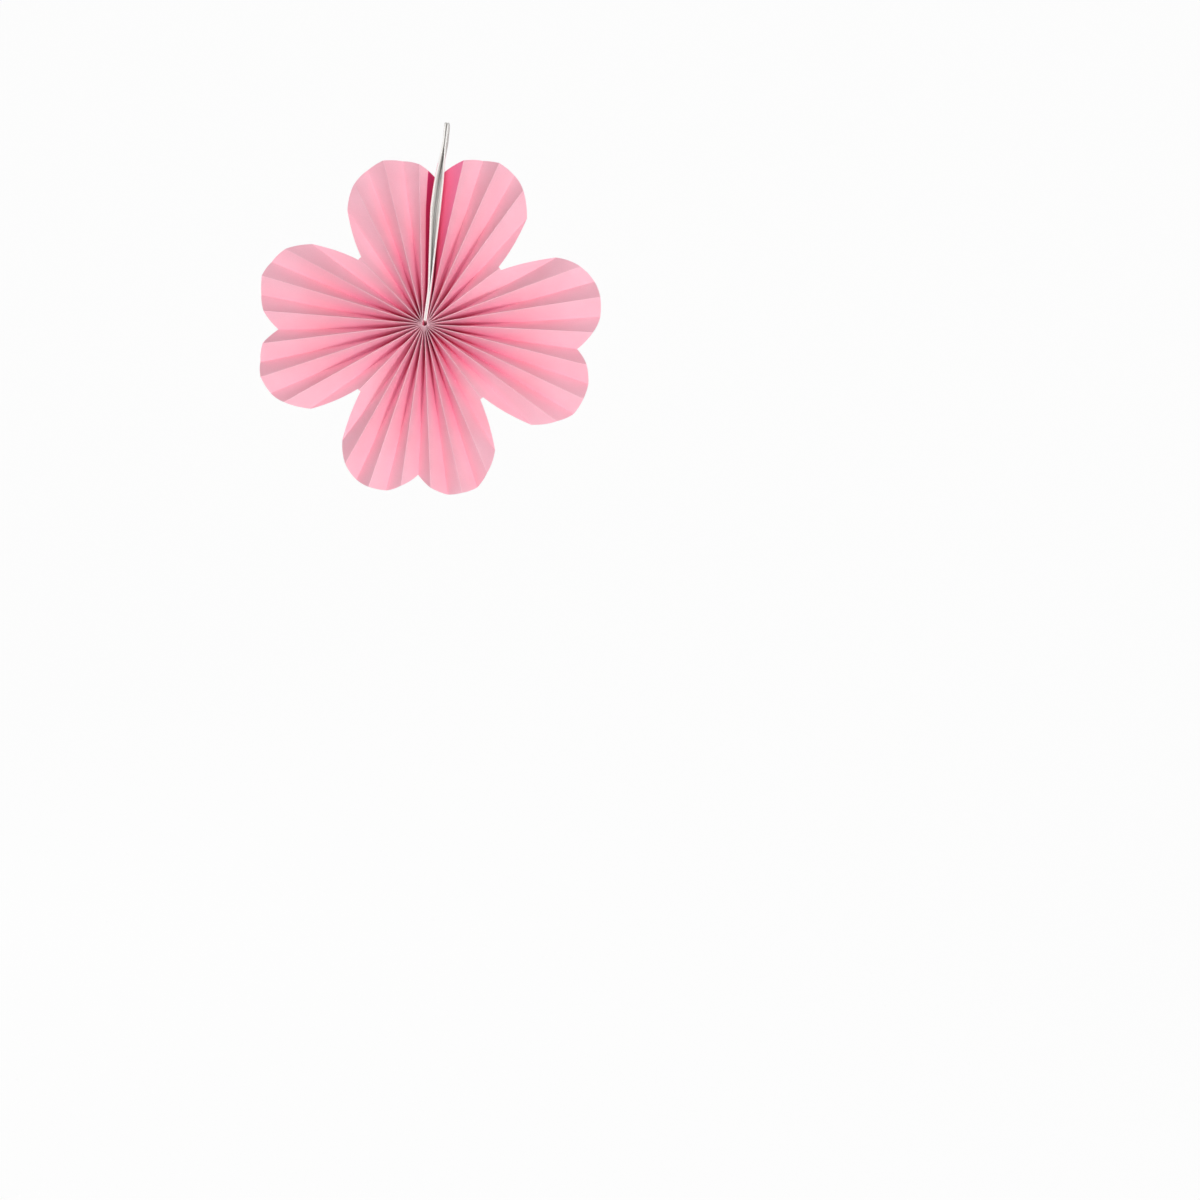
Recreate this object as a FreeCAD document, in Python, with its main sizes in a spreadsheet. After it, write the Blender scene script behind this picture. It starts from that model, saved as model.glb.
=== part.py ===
"""Folded paper rosette: one pleated strip closed into a flower of four heart-shaped petals.

The strip is folded like an accordion and fanned out round a hub, so that its two ends meet.
Each end panel is glued to a card strip, the two cards are taped together beside the hub, and
a thread through the inner ends of all pleats keeps the hub shut. The cards reach past the
paper as a hanging tab with a punched hole.

Axes: X to the right, Y into the depth of the pleats with the front at -Y, and Z up along the
seam. Everything is drawn from the hub centre and placed with the hanging hole at the origin.
"""
import FreeCAD, Part
import Sketcher
import math
import os

VALLEY = 1
MOUNTAIN = -1

LOBES = 8
FACETS_PER_LOBE = 7
FOLDS = LOBES * FACETS_PER_LOBE + 1

# Stations along each fold: two shares of the height where the cards part, then equal steps
# from half-way to the notch out to the rim.
INNER_STEPS = (0.27, 0.6)
TAIL_STEPS = 3

SOLVER_STEPS = 40
TINY = 1e-4
ALONG_DEPTH = FreeCAD.Placement(
    FreeCAD.Vector(0, 0, 0), FreeCAD.Rotation(FreeCAD.Vector(1, 0, 0), 90)
)

# Driving sizes in millimetres: the name, the value and what it is.
SIZES = (
    ("paper_thick", 0.15, "thickness of the dyed paper"),
    ("hub_packing", 1.25, "pitch of the pleats at the hub, in paper thicknesses"),
    ("pleat_depth_at_crown", 8.0, "depth that the widest pleat keeps at its rim"),
    ("notch_radius", 80.5, "rim at the deep notch between two petals"),
    ("shoulder_drop", 25.5, "rim below the lobe's top, one facet away from the deep notch"),
    ("dip_drop", 19.5, "rim below the lobe's top, at the shallow notch in a petal's middle"),
    ("crown_roundness", 2.3, "exponent of the rim curve on both sides of a crown"),
    ("seam_pull", 6.0, "pleats over which the paper falls back from the card's depth"),
    ("card_thick", 1.4, "thickness of a card strip"),
    ("card_inset", 0.3, "card edge behind the paper's front edge and before its back fold"),
    ("card_foot", 2.6, "lower end of the cards above the hub centre"),
    ("card_split", 30.0, "height where the two cards part"),
    ("card_bend", 99.5, "height of the bend in the left card"),
    ("card_bow", 124.0, "height of the second bend of both cards"),
    ("tab_start", 159.0, "height where the two cards meet again"),
    ("tab_end", 175.0, "top of the tab"),
    ("split_x", 1.0, "side offset of the joint between the cards where they part"),
    ("left_bend_x", 5.3, "side offset of the left card at its bend"),
    ("left_bow_x", 4.5, "side offset of the left card at its second bend"),
    ("right_bend_x", 2.3, "side offset of the right card at the same heights"),
    ("right_bow_x", 2.2, "side offset of the right card at its second bend"),
    ("tab_corner", 5.0, "rounding of the tab's two corners"),
    ("hang_hole_radius", 2.0, "punched hole for a string or a hook"),
    ("hang_hole_height", 168.0, "height of that hole above the hub centre"),
    ("tape_thick", 0.1, "double-sided tape between the cards"),
    ("tape_start", 8.0, "lower end of the tape"),
    ("tape_length", 20.0, "length of the tape up the cards"),
    ("tape_width", 12.0, "width of the tape across the cards"),
    ("thread_radius", 0.35, "thread that binds the hub"),
    ("thread_ring_radius", 4.6, "ring that the thread runs in"),
    ("thread_clearance", 0.15, "room round the thread in its punched holes"),
    ("notch_facet_share", 9.6, "angular share of the facet beside a deep notch"),
    ("second_facet_share", 7.0, "angular share of the next facet"),
    ("facet_share", 5.75, "angular share of each other facet"),
    ("lobe_share_1", 45.2, "angular share of the first lobe, clockwise from the seam"),
    ("lobe_share_2", 46.0, "angular share of the second lobe"),
    ("lobe_share_3", 43.8, "angular share of the third lobe"),
    ("lobe_share_4", 40.7, "angular share of the fourth lobe"),
    ("lobe_share_5", 42.0, "angular share of the fifth lobe"),
    ("lobe_share_6", 43.6, "angular share of the sixth lobe"),
    ("lobe_share_7", 46.8, "angular share of the seventh lobe"),
    ("lobe_share_8", 48.4, "angular share of the eighth lobe"),
    ("lobe_reach_1", 153.5, "rim at the top of the first lobe"),
    ("lobe_reach_2", 153.0, "rim at the top of the second lobe"),
    ("lobe_reach_3", 151.0, "rim at the top of the third lobe"),
    ("lobe_reach_4", 149.0, "rim at the top of the fourth lobe"),
    ("lobe_reach_5", 148.5, "rim at the top of the fifth lobe"),
    ("lobe_reach_6", 149.0, "rim at the top of the sixth lobe"),
    ("lobe_reach_7", 147.0, "rim at the top of the seventh lobe"),
    ("lobe_reach_8", 146.5, "rim at the top of the eighth lobe"),
)


def add_size(sheet, row, name, value, note):
    sheet.set("A%d" % row, name)
    sheet.set("B%d" % row, str(value))
    sheet.set("C%d" % row, note)
    sheet.setAlias("B%d" % row, name)


def make_sheet(doc):
    """Spreadsheet with one row for each driving size."""
    sheet = doc.addObject("Spreadsheet::Sheet", "Sizes")
    for row, (name, value, note) in enumerate(SIZES, start=1):
        add_size(sheet, row, name, value, note)
    doc.recompute()
    return sheet


class Fan:
    """Where each fold and each ray of the fanned paper lies, worked out from the sizes."""

    def __init__(self, sheet):
        self.size = {name: float(getattr(sheet, name)) for name, _, _ in SIZES}
        self.crest = self.size["paper_thick"] * self.size["hub_packing"]
        self.farthest = max(self.size["lobe_reach_%d" % (n + 1)] for n in range(LOBES))
        self.hub = self.hub_radius()
        self.rim_angles = self.fold_angles_at_rim()
        self.panel = self.panel_width()

    def card_x(self, side, height):
        """Middle of a card's thickness at a height: side +1 is the right card, -1 the left."""
        s = self.size
        half = (s["card_thick"] + s["tape_thick"]) / 2
        bend = s["right_bend_x"] if side > 0 else -s["left_bend_x"]
        bow = s["right_bow_x"] if side > 0 else -s["left_bow_x"]
        line = (
            (0.0, side * half),
            (s["card_split"], s["split_x"] + side * half),
            (s["card_bend"], bend),
            (s["card_bow"], bow),
            (s["tab_start"], side * s["card_thick"] / 2),
            (s["tab_end"], side * s["card_thick"] / 2),
        )
        for (z0, x0), (z1, x1) in zip(line, line[1:]):
            if height <= z1:
                return x0 + (x1 - x0) * (height - z0) / (z1 - z0)
        return line[-1][1]

    def end_panel_x(self, side, height):
        """Middle of the end panel's thickness, flat against the card's outer face."""
        s = self.size
        return self.card_x(side, height) + side * (s["card_thick"] + s["paper_thick"]) / 2

    def seam_point(self, side, radius, outward):
        """Place on the end panel, or so far outward of it, at a distance from the hub."""
        height = radius
        for _ in range(SOLVER_STEPS):
            x = self.end_panel_x(side, height) + side * outward
            height = math.sqrt(max(radius ** 2 - x ** 2, 0.0))
        return x, height

    def seam_angle(self, side, radius):
        """Angle between the seam and the middle of the fold behind a card."""
        x, height = self.seam_point(side, radius, self.crest / 2)
        return math.atan2(side * x, height)

    def hub_radius(self):
        """Radius where all pleats stand packed side by side, beside the cards."""
        needed = (FOLDS - 1) * self.crest
        radius = needed / math.pi
        for _ in range(SOLVER_STEPS):
            taken = self.seam_angle(1, radius) + self.seam_angle(-1, radius)
            radius = needed / (2 * math.pi - taken)
        return radius

    def fold_angles_at_rim(self):
        """Clockwise angle of each fold from the seam, in radians, at the rim."""
        s = self.size
        first = self.seam_angle(1, self.rim_radius(0))
        last = 2 * math.pi - self.seam_angle(-1, self.rim_radius(FOLDS - 1))
        facets = []
        for lobe in range(LOBES):
            shares = [s["notch_facet_share"], s["second_facet_share"]]
            shares += [s["facet_share"]] * (FACETS_PER_LOBE - 2)
            if lobe % 2 == 0:
                shares.reverse()
            span = s["lobe_share_%d" % (lobe + 1)] / sum(shares)
            facets += [share * span for share in shares]
        angles = [first]
        for facet in facets:
            angles.append(angles[-1] + facet * (last - first) / sum(facets))
        return angles

    def fold_angle(self, fold, radius):
        """Angle of a fold's line at a radius: straight from the packed hub to the rim."""
        at_hub = self.seam_angle(1, self.hub) + fold * self.crest / self.hub
        at_rim = self.rim_angles[fold]
        far = self.farthest
        back = self.hub / radius * (far - radius) / (far - self.hub)
        return at_rim + (at_hub - at_rim) * back

    def from_notch(self, place):
        """Number of facets between a place on the rim and the nearest deep notch."""
        return abs(place % (2 * FACETS_PER_LOBE) - FACETS_PER_LOBE)

    def lobe_top(self, place):
        """Rim at the top of the lobe that holds a place, or the mean of two that meet there."""
        before = min(max(math.ceil(place / FACETS_PER_LOBE), 1), LOBES)
        after = min(max(math.floor(place / FACETS_PER_LOBE) + 1, 1), LOBES)
        return (self.size["lobe_reach_%d" % before] + self.size["lobe_reach_%d" % after]) / 2

    def rim_radius(self, place):
        """Cut edge of the paper: a straight notch side, then a rounded crown."""
        s = self.size
        crown = (FACETS_PER_LOBE + 1) / 2
        away = self.from_notch(place)
        top = self.lobe_top(place)
        low = top - s["shoulder_drop"]
        if away <= 1:
            return s["notch_radius"] + (low - s["notch_radius"]) * away
        if away >= crown:
            petal = 2 * FACETS_PER_LOBE
            low = self.lobe_top(round(place / petal) * petal) - s["dip_drop"]
        reach = abs(away - crown) / (crown - 1)
        return top - (top - low) * reach ** s["crown_roundness"]

    def gap(self, fold, radius):
        """Free width from one fold's crest to the next, at a radius."""
        turn = self.fold_angle(fold + 1, radius) - self.fold_angle(fold, radius)
        return max(radius * turn - self.crest, 0.0)

    def panel_width(self):
        """Width of the flat panels, from the depth that is left where they open widest."""
        widest = 0.0
        for fold in range(FOLDS - 1):
            reach = min(self.rim_radius(fold), self.rim_radius(fold + 1))
            if min(self.from_notch(fold), self.from_notch(fold + 1)) > 1:
                reach = self.lobe_top(fold + 0.5)
            widest = max(widest, self.gap(fold, reach))
        return math.hypot(widest, self.size["pleat_depth_at_crown"])

    def pleat_depth(self, fold, radius):
        """Depth of the panel after a fold: a flat panel keeps its width as it opens."""
        return math.sqrt(max(self.panel ** 2 - self.gap(fold, radius) ** 2, 0.0))

    def regular_fold_y(self, fold, radius):
        """Depth of a fold away from the deep notches."""
        beside = [f for f in (fold - 1, fold) if 0 <= f < FOLDS - 1]
        depth = sum(self.pleat_depth(f, radius) for f in beside) / len(beside)
        near_seam = max(1 - min(fold, FOLDS - 1 - fold) / self.size["seam_pull"], 0.0)
        kind = VALLEY if fold % 2 == 0 else MOUNTAIN
        return kind * depth / 2 + near_seam * (self.panel - depth) / 2

    def fold_y(self, fold, radius):
        """Depth of any fold. Those at a deep notch follow from their neighbours."""
        radius = min(radius, self.rim_radius(fold))
        if fold in (0, FOLDS - 1):
            return self.panel / 2
        away = self.from_notch(fold)
        if away > 1:
            return self.regular_fold_y(fold, radius)
        if away == 1:
            step = -1 if self.from_notch(fold - 1) == 2 else 1
            facet = min(fold, fold + step)
            return self.regular_fold_y(fold + step, radius) + self.pleat_depth(facet, radius)
        sides = [
            self.fold_y(fold - 1, radius) - self.pleat_depth(fold - 1, radius),
            self.fold_y(fold + 1, radius) - self.pleat_depth(fold, radius),
        ]
        return sum(sides) / 2


class FoldRay:
    """One side of a fold's crest, from the hub to the cut rim."""

    def __init__(self, fan, fold, step):
        self.fan = fan
        self.fold = fold
        self.place = fold
        self.step = step

    def point(self, radius):
        angle = self.fan.fold_angle(self.fold, radius) + self.step * self.fan.crest / (2 * radius)
        y = self.fan.fold_y(self.fold, radius)
        return FreeCAD.Vector(radius * math.sin(angle), y, radius * math.cos(angle))


class SeamRay:
    """Line of an end panel: its free front edge or one side of the crest behind the card."""

    def __init__(self, fan, side, place, y, outward):
        self.fan = fan
        self.side = side
        self.place = place
        self.y = y
        self.outward = outward

    def point(self, radius):
        x, height = self.fan.seam_point(self.side, radius, self.outward)
        return FreeCAD.Vector(x, self.y, height)


class MiddleRay:
    """Line half-way between two others."""

    def __init__(self, before, after):
        self.before = before
        self.after = after
        self.place = (before.place + after.place) / 2

    def point(self, radius):
        return (self.before.point(radius) + self.after.point(radius)) / 2


def paper_rays(fan):
    """All lines of the paper in order, clockwise from the right end panel to the left one."""
    deep = fan.panel / 2
    last = FOLDS - 1
    lines = [
        SeamRay(fan, 1, -1, -deep, 0),
        SeamRay(fan, 1, 0, deep, 0),
        SeamRay(fan, 1, 0, deep, fan.crest),
    ]
    for fold in range(1, last):
        lines += [FoldRay(fan, fold, -1), FoldRay(fan, fold, 1)]
    lines += [
        SeamRay(fan, -1, last, deep, fan.crest),
        SeamRay(fan, -1, last, deep, 0),
        SeamRay(fan, -1, last + 1, -deep, 0),
    ]
    rays = []
    for before, after in zip(lines[::2], lines[1::2]):
        rays += [before, MiddleRay(before, after), after]
    return rays


def ray_radii(fan, ray):
    """Radii of the stations along a line. Beside a card they meet the card's bends."""
    s = fan.size
    rim = fan.rim_radius(ray.place)
    split = s["card_split"]
    body = [fan.hub, INNER_STEPS[0] * split, INNER_STEPS[1] * split]
    side = 1 if ray.place < FOLDS / 2 else -1
    if -1 <= ray.place <= 0.5 or ray.place >= FOLDS - 1.5:
        bends = (split, (split + s["card_bend"]) / 2, s["card_bend"], s["card_bow"])
        return body + [math.hypot(fan.end_panel_x(side, bend), bend) for bend in bends] + [rim]
    body += [split, (split + s["notch_radius"]) / 2]
    tail = (rim - body[-1]) / TAIL_STEPS
    return body + [body[-1] + tail * step for step in range(1, TAIL_STEPS + 1)]


def across(start, end, radial):
    """Direction from one point to another in the plane square to the radius."""
    step = end - start
    return (step - radial * step.dot(radial)).normalize()


def half_offset(before, point, after, half):
    """From the mid surface to the paper's front face, mitred where two panels meet."""
    radial = FreeCAD.Vector(point.x, 0, point.z).normalize()
    normals = []
    if before is not None:
        normals.append(across(before, point, radial).cross(radial))
    if after is not None:
        normals.append(across(point, after, radial).cross(radial))
    total = normals[0] + normals[-1]
    return total * (half / total.dot(normals[0]))


def paper_points(fan):
    """Points of the paper's front and back face, one row for each line."""
    rays = [None] + paper_rays(fan) + [None]
    half = fan.size["paper_thick"] / 2
    front, back = [], []
    for before, ray, after in zip(rays, rays[1:], rays[2:]):
        front.append([])
        back.append([])
        for radius in ray_radii(fan, ray):
            trio = [line.point(radius) if line else None for line in (before, ray, after)]
            push = half_offset(*trio, half)
            front[-1].append(trio[1] + push)
            back[-1].append(trio[1] - push)
    return front, back


def quad(corners, swap):
    """Two flat triangles over four corners in order."""
    a, b, c, d = corners
    pairs = ((a, b, d), (b, c, d)) if swap else ((a, b, c), (a, c, d))
    return [Part.Face(Part.makePolygon([p, q, r, p])) for p, q, r in pairs]


def paper_solid(fan):
    """Closed skin over the front, the back, the hub end, the rim and the two end edges."""
    front, back = paper_points(fan)
    last = len(front[0]) - 1
    faces = []
    for index, (f0, f1, b0, b1) in enumerate(zip(front, front[1:], back, back[1:])):
        swap = (index // 3) % 2 == 0
        for j in range(last):
            faces += quad((f0[j], f1[j], f1[j + 1], f0[j + 1]), swap)
            faces += quad((b0[j], b1[j], b1[j + 1], b0[j + 1]), swap)
        for j in (0, last):
            faces += quad((f0[j], f1[j], b1[j], b0[j]), swap)
    for f, b in ((front[0], back[0]), (front[-1], back[-1])):
        for j in range(last):
            faces += quad((f[j], f[j + 1], b[j + 1], b[j]), False)
    shell = Part.makeShell(faces)
    shell.sewShape()
    solid = Part.makeSolid(shell)
    if solid.Volume < 0:
        solid.reverse()
    return solid


def bind(thing, **sizes):
    """Tie properties of an object to cells of the sheet."""
    for name, expression in sizes.items():
        thing.setExpression(name, expression)


def hang(thing):
    """Place a sub-part drawn from the hub centre so that the hanging hole is the origin."""
    thing.setExpression("Placement.Base.z", "-Sizes.hang_hole_height")


def outline_pad(doc, body, corners, width):
    """Polygon of expressions in the front view, padded evenly to both sides in depth."""
    plane = next(f for f in body.Origin.OriginFeatures if f.Role == "XZ_Plane")
    sketch = body.newObject("Sketcher::SketchObject", body.Label + "_outline")
    sketch.AttachmentSupport = [(plane, "")]
    sketch.MapMode = "FlatFace"
    points = []
    for across_text, up_text in corners:
        x = float(body.evalExpression(across_text))
        z = float(body.evalExpression(up_text))
        points.append(FreeCAD.Vector(x, z, 0))
    for start, end in zip(points, points[1:] + points[:1]):
        sketch.addGeometry(Part.LineSegment(start, end))
    count = len(points)
    for index, (point, texts) in enumerate(zip(points, corners)):
        before = (index - 1) % count
        sketch.addConstraint(Sketcher.Constraint("Coincident", before, 2, index, 1))
        for kind, value, text in zip(("DistanceX", "DistanceY"), point, texts):
            number = sketch.addConstraint(Sketcher.Constraint(kind, -1, 1, index, 1, value))
            sketch.setExpression("Constraints[%d]" % number, text)
    pad = body.newObject("PartDesign::Pad", body.Label + "_pad")
    pad.Profile = sketch
    pad.SideType = "Symmetric"
    pad.setExpression("Length", width)
    doc.recompute()
    return pad


def card_corners(side):
    """Corners of a card seen from the front, up its outer face and down its inner face."""
    name = "right" if side > 0 else "left"
    half = "%d * (Sizes.card_thick + Sizes.tape_thick) / 2" % side
    tip = "%d * Sizes.card_thick / 2" % side
    middle = (
        ("Sizes.split_x * Sizes.card_foot / Sizes.card_split + " + half, "Sizes.card_foot"),
        ("Sizes.split_x + " + half, "Sizes.card_split"),
        ("%d * Sizes.%s_bend_x" % (side, name), "Sizes.card_bend"),
        ("%d * Sizes.%s_bow_x" % (side, name), "Sizes.card_bow"),
        (tip, "Sizes.tab_start"),
        (tip, "Sizes.tab_end"),
    )
    outer = [("%s + %s" % (x, tip), z) for x, z in middle]
    inner = [("%s - %s" % (x, tip), z) for x, z in middle]
    return outer + inner[::-1]


def make_card(doc, label, side):
    """Card strip on edge: bent outline, rounded tab, hanging hole and channel for the thread."""
    body = doc.addObject("PartDesign::Body", label)
    body.Label = label
    width = "Sizes.panel_width - 2 * Sizes.card_inset"
    pad = outline_pad(doc, body, card_corners(side), width)

    top = pad.Shape.BoundBox.ZMax
    corners = []
    for number, edge in enumerate(pad.Shape.Edges, start=1):
        box = edge.BoundBox
        if box.ZMin > top - TINY and box.YLength < TINY:
            corners.append("Edge%d" % number)
    rounding = body.newObject("PartDesign::Fillet", label + "_corners")
    rounding.Base = (pad, corners)
    bind(rounding, Radius="Sizes.tab_corner")
    doc.recompute()

    side_plane = next(f for f in body.Origin.OriginFeatures if f.Role == "YZ_Plane")
    sketch = body.newObject("Sketcher::SketchObject", label + "_hole_centre")
    sketch.AttachmentSupport = [(side_plane, "")]
    sketch.MapMode = "FlatFace"
    height = float(body.evalExpression("Sizes.hang_hole_height"))
    radius = float(body.evalExpression("Sizes.hang_hole_radius"))
    up = FreeCAD.Vector(0, 0, 1)
    circle = sketch.addGeometry(Part.Circle(FreeCAD.Vector(0, height, 0), up, radius))
    sketch.addConstraint(Sketcher.Constraint("PointOnObject", circle, 3, -2))
    lift = sketch.addConstraint(Sketcher.Constraint("DistanceY", -1, 1, circle, 3, height))
    sketch.setExpression("Constraints[%d]" % lift, "Sizes.hang_hole_height")
    size = sketch.addConstraint(Sketcher.Constraint("Radius", circle, radius))
    sketch.setExpression("Constraints[%d]" % size, "Sizes.hang_hole_radius")
    hole = body.newObject("PartDesign::Pocket", label + "_hang_hole")
    hole.Profile = sketch
    hole.Type = "ThroughAll"
    hole.SideType = "Symmetric"

    channel = body.newObject("PartDesign::SubtractiveTorus", label + "_thread_channel")
    bind(channel, Radius1="Sizes.thread_ring_radius")
    bind(channel, Radius2="Sizes.thread_radius + Sizes.thread_clearance")
    channel.Placement = ALONG_DEPTH
    body.Tip = channel
    hang(body)
    return body


def make_tape(doc):
    """Double-sided tape that fills the gap between the two cards above the hub."""
    body = doc.addObject("PartDesign::Body", "closing_tape")
    body.Label = "closing_tape"
    low = "Sizes.tape_start"
    high = "Sizes.tape_start + Sizes.tape_length"
    lean = "Sizes.split_x / Sizes.card_split * (%s)"
    half = "Sizes.tape_thick / 2"
    corners = [
        (lean % low + " - " + half, low),
        (lean % low + " + " + half, low),
        (lean % high + " + " + half, high),
        (lean % high + " - " + half, high),
    ]
    outline_pad(doc, body, corners, "Sizes.tape_width")
    hang(body)
    return body


def make_paper(doc, fan):
    """Pleated sheet with the holes that the thread runs through."""
    s = fan.size
    centre = FreeCAD.Vector(0, 0, 0)
    depth_axis = FreeCAD.Vector(0, 1, 0)
    hole_radius = s["thread_radius"] + s["thread_clearance"]
    holes = Part.makeTorus(s["thread_ring_radius"], hole_radius, centre, depth_axis)
    paper = doc.addObject("Part::Feature", "pleated_paper")
    paper.Label = "pleated_paper"
    paper.Shape = paper_solid(fan).cut(holes).Solids[0]
    hang(paper)
    return paper


def make_thread(doc):
    """Closed loop of thread through the inner ends of the pleats and the cards."""
    thread = doc.addObject("Part::Torus", "binding_thread")
    thread.Label = "binding_thread"
    bind(thread, Radius1="Sizes.thread_ring_radius", Radius2="Sizes.thread_radius")
    thread.Placement = ALONG_DEPTH
    hang(thread)
    return thread


def check(doc, parts):
    """Stop before anything is written if an object failed."""
    for thing in doc.Objects:
        if "Invalid" in thing.State or "Error" in thing.State:
            raise RuntimeError("%s failed: %s" % (thing.Label, thing.State))
    for part in parts:
        if part.Shape.isNull() or not part.Shape.isValid():
            raise RuntimeError("%s has no valid shape" % part.Label)


def main():
    doc = FreeCAD.newDocument("rosette")
    sheet = make_sheet(doc)
    fan = Fan(sheet)
    add_size(sheet, len(SIZES) + 1, "panel_width", fan.panel, "width of a flat panel, worked out")
    doc.recompute()
    parts = [
        make_paper(doc, fan),
        make_card(doc, "right_end_card", 1),
        make_card(doc, "left_end_card", -1),
        make_tape(doc),
        make_thread(doc),
    ]
    doc.recompute()
    check(doc, parts)
    os.makedirs("parts", exist_ok=True)
    for part in parts:
        part.Shape.exportStep("parts/%s.step" % part.Label)
        print(part.Label, len(part.Shape.Solids), len(part.Shape.Faces), round(part.Shape.Volume, 2))
    flat_length = (FOLDS + 1) * fan.panel
    print("strip %.0f mm long, panel %.2f mm, hub %.2f mm" % (flat_length, fan.panel, fan.hub))


main()
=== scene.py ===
import bpy
import math
import random
from mathutils import Matrix, Vector, noise


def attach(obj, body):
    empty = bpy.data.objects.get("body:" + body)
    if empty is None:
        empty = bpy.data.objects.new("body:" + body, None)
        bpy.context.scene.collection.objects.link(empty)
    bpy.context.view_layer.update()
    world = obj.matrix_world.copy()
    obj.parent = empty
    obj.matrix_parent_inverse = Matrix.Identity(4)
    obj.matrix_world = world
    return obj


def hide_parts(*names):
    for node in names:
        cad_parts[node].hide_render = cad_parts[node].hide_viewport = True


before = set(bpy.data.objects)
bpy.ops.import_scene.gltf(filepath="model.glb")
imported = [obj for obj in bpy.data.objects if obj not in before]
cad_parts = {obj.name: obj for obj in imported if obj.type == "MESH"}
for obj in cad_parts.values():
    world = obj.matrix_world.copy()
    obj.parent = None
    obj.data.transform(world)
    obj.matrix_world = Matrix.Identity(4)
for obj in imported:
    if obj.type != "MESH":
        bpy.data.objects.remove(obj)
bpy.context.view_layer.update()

MM = 0.001
VALLEY = 1
MOUNTAIN = -1
LOBES = 8
FACETS_PER_LOBE = 7
FOLDS = LOBES * FACETS_PER_LOBE + 1
SOLVER_STEPS = 40

# The sizes of the part, in millimetres, as its source has them.
SIZE = {
    "paper_thick": 0.15,
    "hub_packing": 1.25,
    "pleat_depth_at_crown": 8.0,
    "notch_radius": 80.5,
    "shoulder_drop": 25.5,
    "dip_drop": 19.5,
    "crown_roundness": 2.3,
    "seam_pull": 6.0,
    "card_thick": 1.4,
    "card_inset": 0.3,
    "card_foot": 2.6,
    "card_split": 30.0,
    "card_bend": 99.5,
    "card_bow": 124.0,
    "tab_start": 159.0,
    "tab_end": 175.0,
    "split_x": 1.0,
    "left_bend_x": 5.3,
    "left_bow_x": 4.5,
    "right_bend_x": 2.3,
    "right_bow_x": 2.2,
    "tab_corner": 5.0,
    "hang_hole_radius": 2.0,
    "hang_hole_height": 168.0,
    "tape_thick": 0.1,
    "thread_radius": 0.35,
    "thread_ring_radius": 4.6,
    "notch_facet_share": 9.6,
    "second_facet_share": 7.0,
    "facet_share": 5.75,
    "lobe_shares": (45.2, 46.0, 43.8, 40.7, 42.0, 43.6, 46.8, 48.4),
    "lobe_reaches": (153.5, 153.0, 151.0, 149.0, 148.5, 149.0, 147.0, 146.5),
}

# The hub's hole at the back, which the photograph hides, and how its wall runs there from the
# front. Then half the flat bottom of a deep notch, in facets.
HUB_BACK_RADIUS = 0.5
HUB_TAPER = 0.7
NOTCH_FLAT = 0.12

# How far single panels bow, twist and ripple out of the flat, in millimetres.
BOW = 0.35
TWIST = 0.5
RIPPLE = 0.25

# Painted shade: the gap of a pleat that counts as wide open, where the painted shade in the valleys
# near the hub ends; how much painted shade and shadow the panels beside the seam get; and the share
# of the last regular panel's width where the card's painted shadow starts.
OPEN_GAP = 9.0
PAINTED_SEAM_SHADE = {0: 0.3, 1: 0.33, FOLDS - 1: 0.85, FOLDS: 0.3}
SHADED_SHARE = 0.44

# Wear of the folds, with a painted highlight on their crests: its width, and what is left of it where the
# pleats are wide open.
WEAR_AND_HIGHLIGHT_WIDTH = 0.9
OUTER_WEAR_AND_HIGHLIGHT = 0.25

# Guesses for the hidden side of the cards: where across their gap they meet at the back, from
# the left one, the gap over which that lean comes in, and how much lower their feet reach there.
BACK_MEETING = 0.15
LEAN_GAP = 0.4
FOOT_DROP = 1.7

# The tips of the tab part at the front: the height where that starts, over what height it
# comes in, and how far each card goes. Then the easing of the cards' bends and their edges.
TIP_START = 154.0
TIP_RISE = 12.0
TIP_FLARE = 0.5
BEND_REACH = 5.0
CARD_ROUNDING = 0.14

# Lamps: where they stand in metres, their width in metres, power in watts and tint.
LAMPS = {
    "key_lamp": ((1.03, -1.78, -0.94), 0.25, 15.0, (1.0, 0.99, 0.99)),
    "fill_lamp": ((-0.1, -2.4, 0.0), 0.9, 17.5, (1.0, 1.0, 1.0)),
    "back_lamp": ((-1.0, 2.1, 0.8), 1.2, 16.0, (1.0, 1.0, 1.0)),
}
WORLD_LIGHT = 0.35
BACKDROP_GLOW = 0.96

# Where the photograph was taken from: distance, size of a millimetre in the picture, the hub's
# place from the picture's centre in picture points, and how far the tab leans to the right.
CAMERA_DISTANCE = 1500.0
SENSOR = 36.0
PICTURE = 1200.0
POINTS_PER_MM = 1.163
HUB_RIGHT = -175.4
HUB_UP = 276.6
LEAN = math.radians(6.27)


def place_mm(x, y, z):
    """From the part's own millimetres, drawn round the hub, to the row frame in metres."""
    return Vector((x, y, z - SIZE["hang_hole_height"])) * MM


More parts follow.
